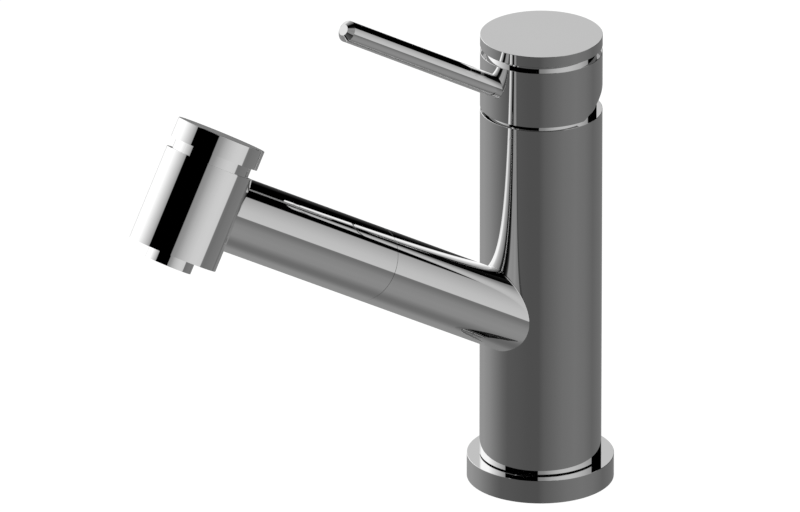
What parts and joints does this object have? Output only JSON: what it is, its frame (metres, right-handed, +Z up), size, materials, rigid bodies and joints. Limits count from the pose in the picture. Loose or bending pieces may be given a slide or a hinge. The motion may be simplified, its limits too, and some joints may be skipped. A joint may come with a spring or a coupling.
{
  "type": "kitchen faucet",
  "caption": "Single-lever kitchen faucet: straight round column, rising pull-out spout with a round spray head and button, slim rod lever on a tilting cap.",
  "frame": {"origin": "centre of the base ring's underside, on the worktop", "axes": "+Z up along the column, -Y the way the spout and the lever point, +X to the cold side"},
  "size_m": [0.0604, 0.2424, 0.3084],
  "materials": {
    "polished_chrome": "mirror-polished chrome plating",
    "brass": "machined, unplated",
    "steel": "bright stainless steel",
    "black_rubber": "matt moulded rubber",
    "grey_rubber": "matt silicone",
    "bearing_plastic": "natural moulded plastic",
    "cartridge_plastic": "moulded plastic",
    "black_plastic": "moulded plastic",
    "white_plastic": "fine moulded mesh",
    "ceramic": "lapped ceramic, stated as a gloss material",
    "hose_braid": "braided nylon sleeve"
  },
  "bodies": {
    "base": {"base_ring": "polished_chrome", "deck_seal": "black_rubber", "swivel_hub": "brass", "mounting_shank": "brass", "lower_slide_ring": "black_plastic", "upper_slide_ring": "bearing_plastic", "retaining_clip": "steel"},
    "clamp": {"clamp_gasket": "black_rubber", "clamp_washer": "steel", "clamp_nut": "brass"},
    "column": {"column_casing": "polished_chrome", "spout_socket": "polished_chrome", "swivel_stop_screw": "steel", "valve_seat": "brass", "valve_seat_seals": "black_rubber", "hose_guide": "bearing_plastic", "pullout_hose": "hose_braid", "hose_coupling": "brass", "cartridge_base": "cartridge_plastic", "port_seals": "black_rubber", "lower_ceramic_disc": "ceramic", "cartridge_housing": "cartridge_plastic", "cartridge_nut": "brass", "bonnet_ring": "polished_chrome"},
    "rotor": {"cartridge_carrier": "cartridge_plastic", "stem_pin": "steel"},
    "handle": {"cartridge_stem": "steel", "handle_cap": "polished_chrome", "handle_disc": "polished_chrome", "lever_rod": "polished_chrome", "handle_set_screw": "steel"},
    "valve_disc": {"disc_carrier": "cartridge_plastic", "upper_ceramic_disc": "ceramic"},
    "wand": {"wand_shell": "polished_chrome", "dock_spigot": "bearing_plastic", "hose_connector": "brass", "hose_washer": "black_rubber", "check_valve": "black_plastic", "waterway": "bearing_plastic", "diverter_core": "black_plastic", "core_seal": "black_rubber", "spray_plate": "black_plastic", "spray_nubs": "grey_rubber", "aerator_housing": "polished_chrome", "aerator_insert": "white_plastic"},
    "button": {"button_cap": "polished_chrome", "diverter_spool": "black_plastic", "spool_seals": "black_rubber", "spool_clip": "steel", "button_spring": "steel"}
  },
  "joints": [
    {"name": "column_swivel", "type": "hinge", "parent": "base", "child": "column", "pos_m": [0, 0, 0.01], "axis": [0, 0, 1], "range_deg": [-60, 60]},
    {"name": "nut_travel", "type": "slide", "parent": "base", "child": "clamp", "axis": [0, 0, -1], "range_m": [-0.024, 0.1]},
    {"name": "handle_turn", "type": "hinge", "parent": "column", "child": "rotor", "pos_m": [0, 0, 0.168], "axis": [0, 0, 1], "range_deg": [-45, 45]},
    {"name": "handle_lift", "type": "hinge", "parent": "rotor", "child": "handle", "pos_m": [0, 0, 0.168], "axis": [-1, 0, 0], "range_deg": [0, 25]},
    {"name": "disc_slide", "type": "slide", "parent": "rotor", "child": "valve_disc", "axis": [0, -1, 0], "range_m": [0, 0.0043]},
    {"name": "wand_pull", "type": "slide", "parent": "column", "child": "wand", "axis": [0, -0.866, 0.5], "range_m": [0, 0.45], "deforming": ["pullout_hose"]},
    {"name": "button_press", "type": "slide", "parent": "wand", "child": "button", "axis": [0, -0.5, -0.866], "range_m": [0, 0.004], "stiffness_N_per_m": 900, "springref_m": -0.006, "deforming": ["button_spring"]}
  ],
  "couplings": [
    {"joint": "disc_slide", "follows": "handle_lift", "m_per_rad": 0.0096857}
  ]
}
